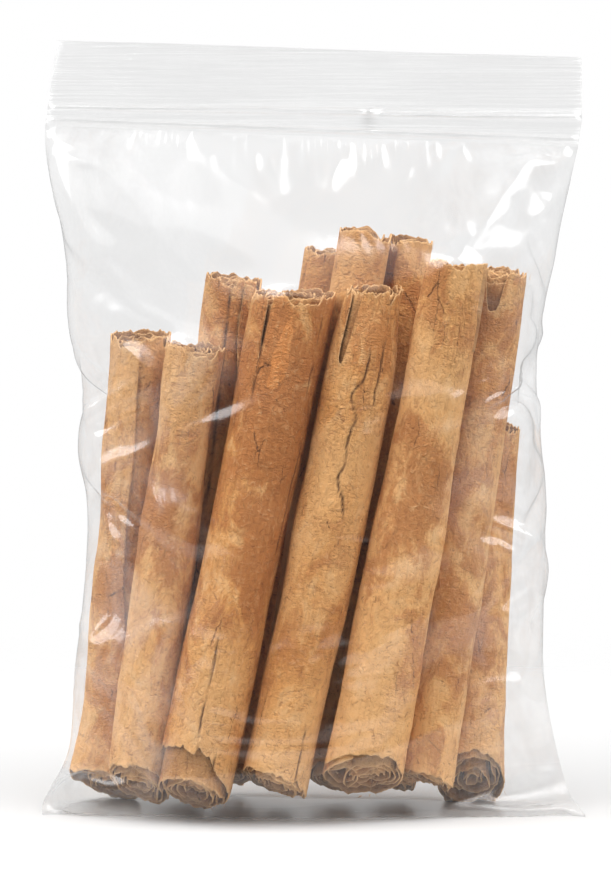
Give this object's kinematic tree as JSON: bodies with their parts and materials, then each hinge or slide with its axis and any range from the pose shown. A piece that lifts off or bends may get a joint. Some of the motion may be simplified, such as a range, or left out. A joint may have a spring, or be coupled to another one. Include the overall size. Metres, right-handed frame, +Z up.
{
  "type": "bag of cinnamon sticks",
  "caption": "Clear grip-seal bag of thick, layered cinnamon quills, shut and standing upright on the cut ends of its quills.",
  "frame": {"origin": "middle of the bounding box at the floor", "axes": "+X to the right along the bag's width, -Y towards the shown side, +Z up towards the grip-seal header"},
  "size_m": [0.1286, 0.0504, 0.1786],
  "materials": {
    "film": "clear, glossy polyethylene film with fine creases",
    "bark": "dry, matt layered bark, tan with red-brown mottling"
  },
  "bodies": {
    "root": {"bag": "film"}
  },
  "joints": []
}
